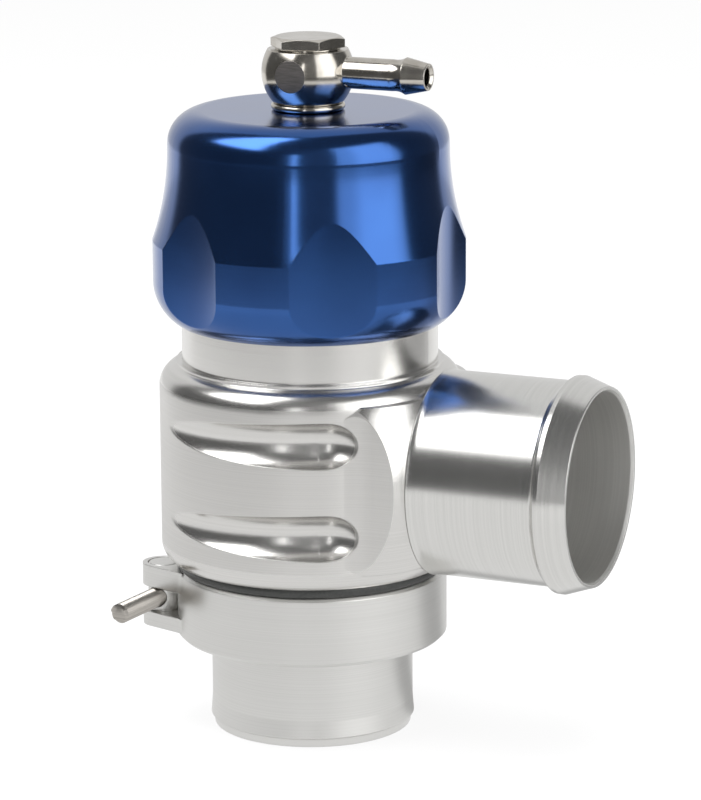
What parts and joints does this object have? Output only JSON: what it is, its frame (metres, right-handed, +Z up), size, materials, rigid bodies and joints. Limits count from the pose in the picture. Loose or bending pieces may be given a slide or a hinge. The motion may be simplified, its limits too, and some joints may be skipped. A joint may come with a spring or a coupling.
{
  "type": "blow off valve",
  "caption": "Turbo blow off valve: clamped inlet tube, side outlet spout, spring-loaded piston, scalloped adjusting cap and a swivelling hose barb on top.",
  "frame": {"origin": "centre of the inlet tube's lower rim, on which the valve stands", "axes": "+Z up along the valve axis towards the cap, +X out along the side outlet"},
  "size_m": [0.0881, 0.058, 0.1305],
  "materials": {
    "bare_aluminium": "satin turned and bead-blasted",
    "blue_aluminium": "glossy blue anodised",
    "nickel_plate": "bright nickel plate",
    "screw_steel": "plain stainless steel",
    "spring_steel": "drawn wire",
    "black_rubber": "matte",
    "low_friction_plastic": "matte",
    "piston_aluminium": "fine turned"
  },
  "bodies": {
    "housing": {"valve_body": "bare_aluminium", "outlet_spout": "bare_aluminium", "spout_o_ring": "black_rubber", "inlet_flange": "bare_aluminium", "inlet_o_ring": "black_rubber", "gap_seal_ring": "black_rubber", "clamp_collar": "bare_aluminium", "clamp_barrel_nut": "screw_steel", "clamp_screw": "screw_steel", "clamp_washer": "screw_steel", "cap_o_ring": "black_rubber"},
    "piston_group": {"piston": "piston_aluminium", "piston_face_seal": "black_rubber", "piston_guide_band": "low_friction_plastic", "piston_cup_seal": "black_rubber", "main_spring": "spring_steel"},
    "spring_seat_group": {"spring_seat": "screw_steel", "thrust_washer": "low_friction_plastic"},
    "cap_group": {"top_cap": "blue_aluminium", "banjo_washer_lower": "nickel_plate", "banjo_washer_upper": "nickel_plate", "banjo_bolt": "nickel_plate"},
    "banjo_group": {"banjo_fitting": "nickel_plate"}
  },
  "joints": [
    {"name": "piston_slide", "type": "slide", "parent": "housing", "child": "piston_group", "axis": [0, 0, 1], "range_m": [0, 0.012], "stiffness_N_per_m": 1850, "springref_m": -0.02, "deforming": ["main_spring"]},
    {"name": "cap_turn", "type": "hinge", "parent": "spring_seat_group", "child": "cap_group", "pos_m": [0, 0, 0.1], "axis": [0, 0, 1], "range_deg": [-720, 360]},
    {"name": "cap_travel", "type": "slide", "parent": "housing", "child": "spring_seat_group", "axis": [0, 0, 1], "range_m": [-0.003, 0.0015]},
    {"name": "banjo_swivel", "type": "hinge", "parent": "cap_group", "child": "banjo_group", "pos_m": [0, 0, 0.12415], "axis": [0, 0, 1], "continuous": true}
  ],
  "couplings": [
    {"joint": "cap_travel", "follows": "cap_turn", "m_per_rad": 0.00023873}
  ]
}
